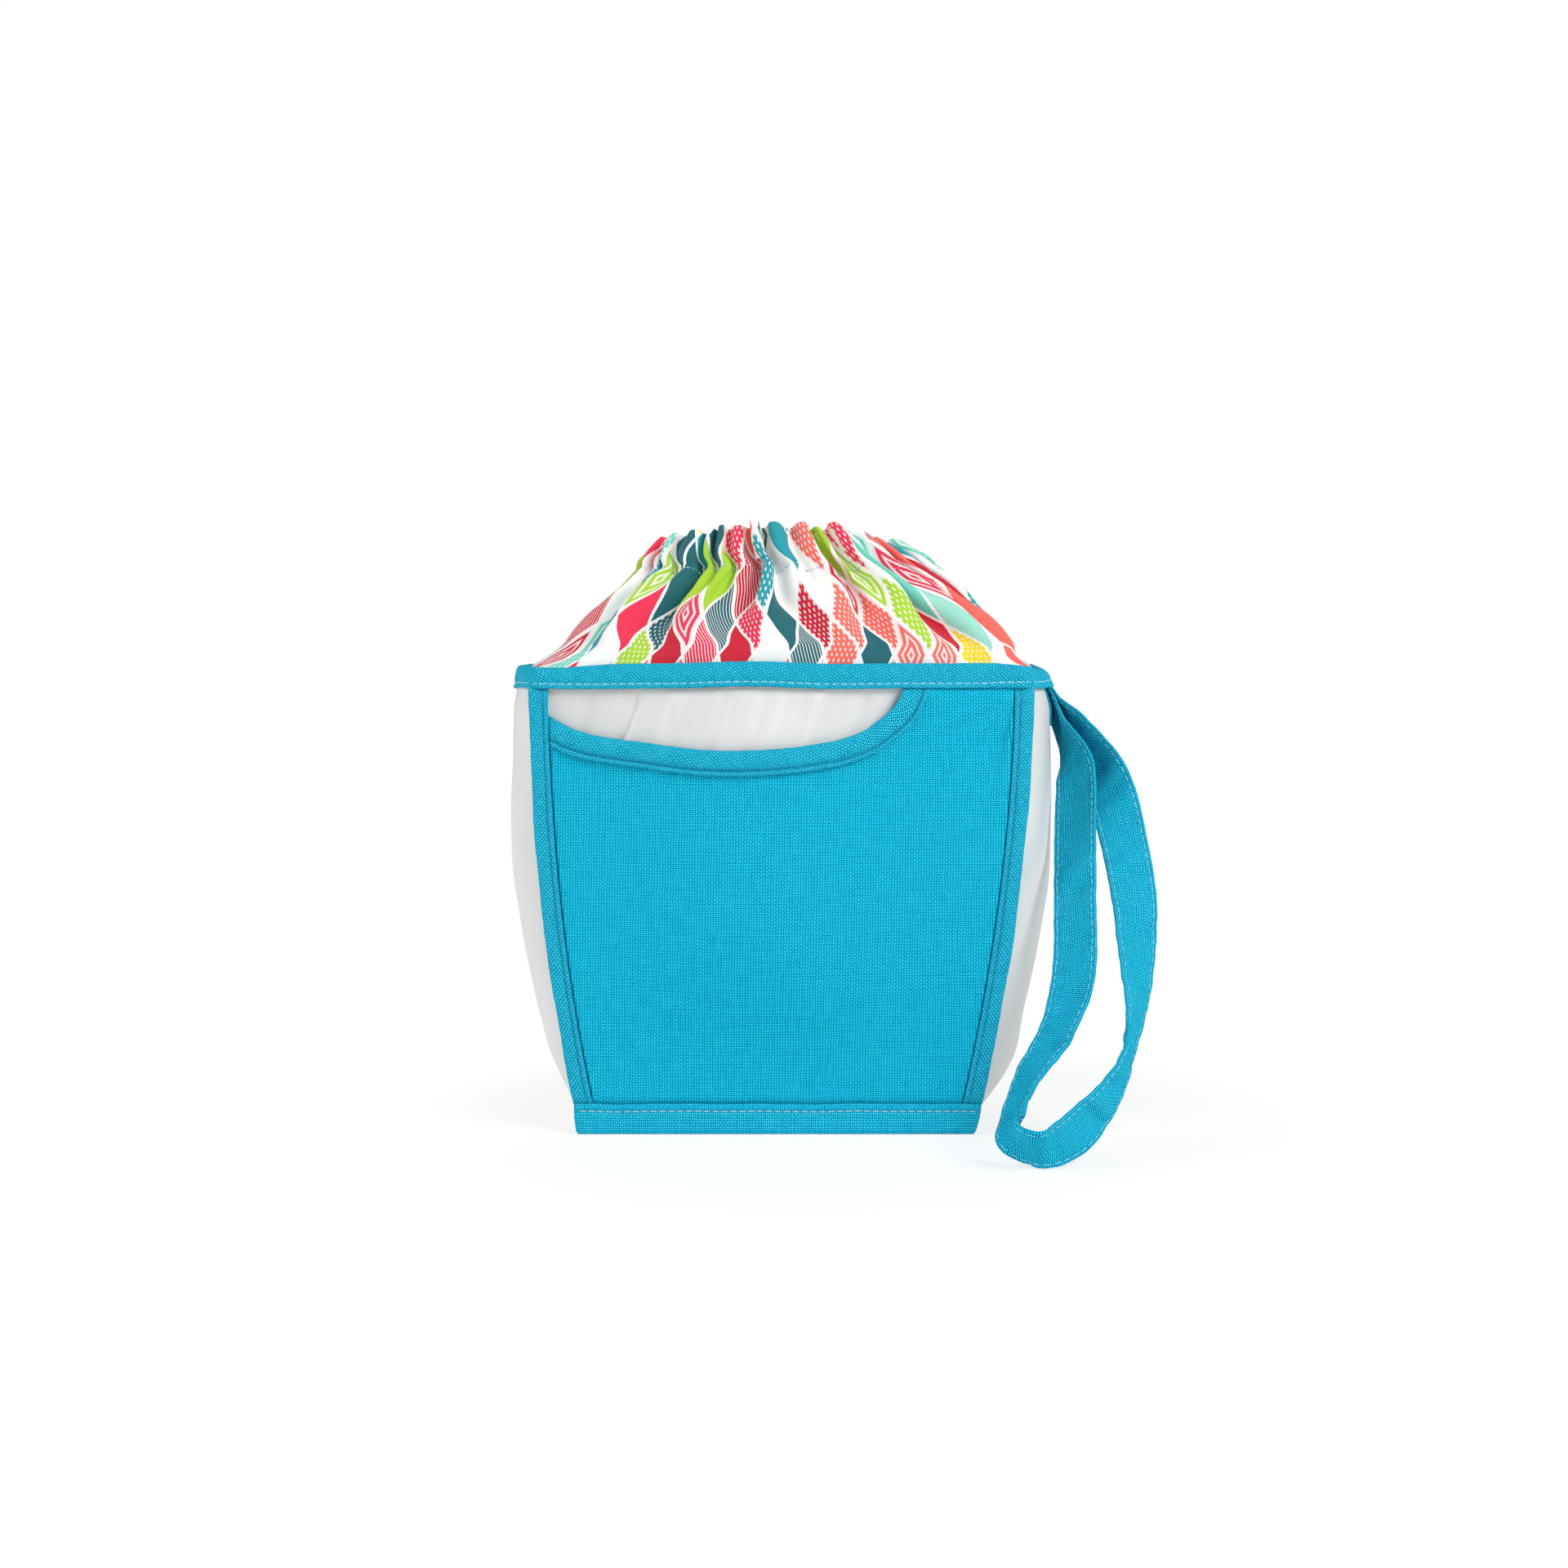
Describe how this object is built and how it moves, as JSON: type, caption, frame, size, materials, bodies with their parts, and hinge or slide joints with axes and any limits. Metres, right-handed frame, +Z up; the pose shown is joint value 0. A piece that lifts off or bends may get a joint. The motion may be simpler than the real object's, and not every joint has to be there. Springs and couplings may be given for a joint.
{
  "type": "knitting bag",
  "caption": "Small upright knitting bag with frosted vinyl walls, canvas edge bindings and front pocket, a gathered elastic cloth top and a hanging wrist strap loop.",
  "frame": {"origin": "centre of the base panel's underside, on the surface that the bag stands on", "axes": "+X to the bag's right as seen from the front (the strap's side), -Y out of the pocket front, +Z up"},
  "size_m": [0.2473, 0.1701, 0.2315],
  "materials": {
    "frosted_vinyl": "frosted translucent vinyl sheet, satin",
    "blue_canvas": "plain-weave cotton canvas, matt",
    "strap_canvas": "folded and edge-stitched canvas tape, matt",
    "printed_cotton": "printed cotton with bright motifs on white, matt",
    "woven_elastic": "flat woven elastic, matt"
  },
  "bodies": {
    "bag": {"front_panel": "frosted_vinyl", "back_panel": "frosted_vinyl", "left_gusset": "frosted_vinyl", "right_gusset": "frosted_vinyl", "base_panel": "frosted_vinyl", "front_pocket": "blue_canvas", "pocket_mouth_binding": "blue_canvas", "front_left_binding": "blue_canvas", "front_right_binding": "blue_canvas", "back_left_binding": "blue_canvas", "back_right_binding": "blue_canvas", "front_base_binding": "blue_canvas", "back_base_binding": "blue_canvas", "waist_binding": "blue_canvas", "printed_top": "printed_cotton", "mouth_elastic": "woven_elastic", "strap_end": "strap_canvas"},
    "strap": {"wrist_strap": "strap_canvas"}
  },
  "joints": [
    {"name": "strap_swing", "type": "hinge", "parent": "bag", "child": "strap", "pos_m": [0.1097, -0.008, 0.1662], "axis": [0, -1, 0], "range_deg": [0, 150]}
  ]
}
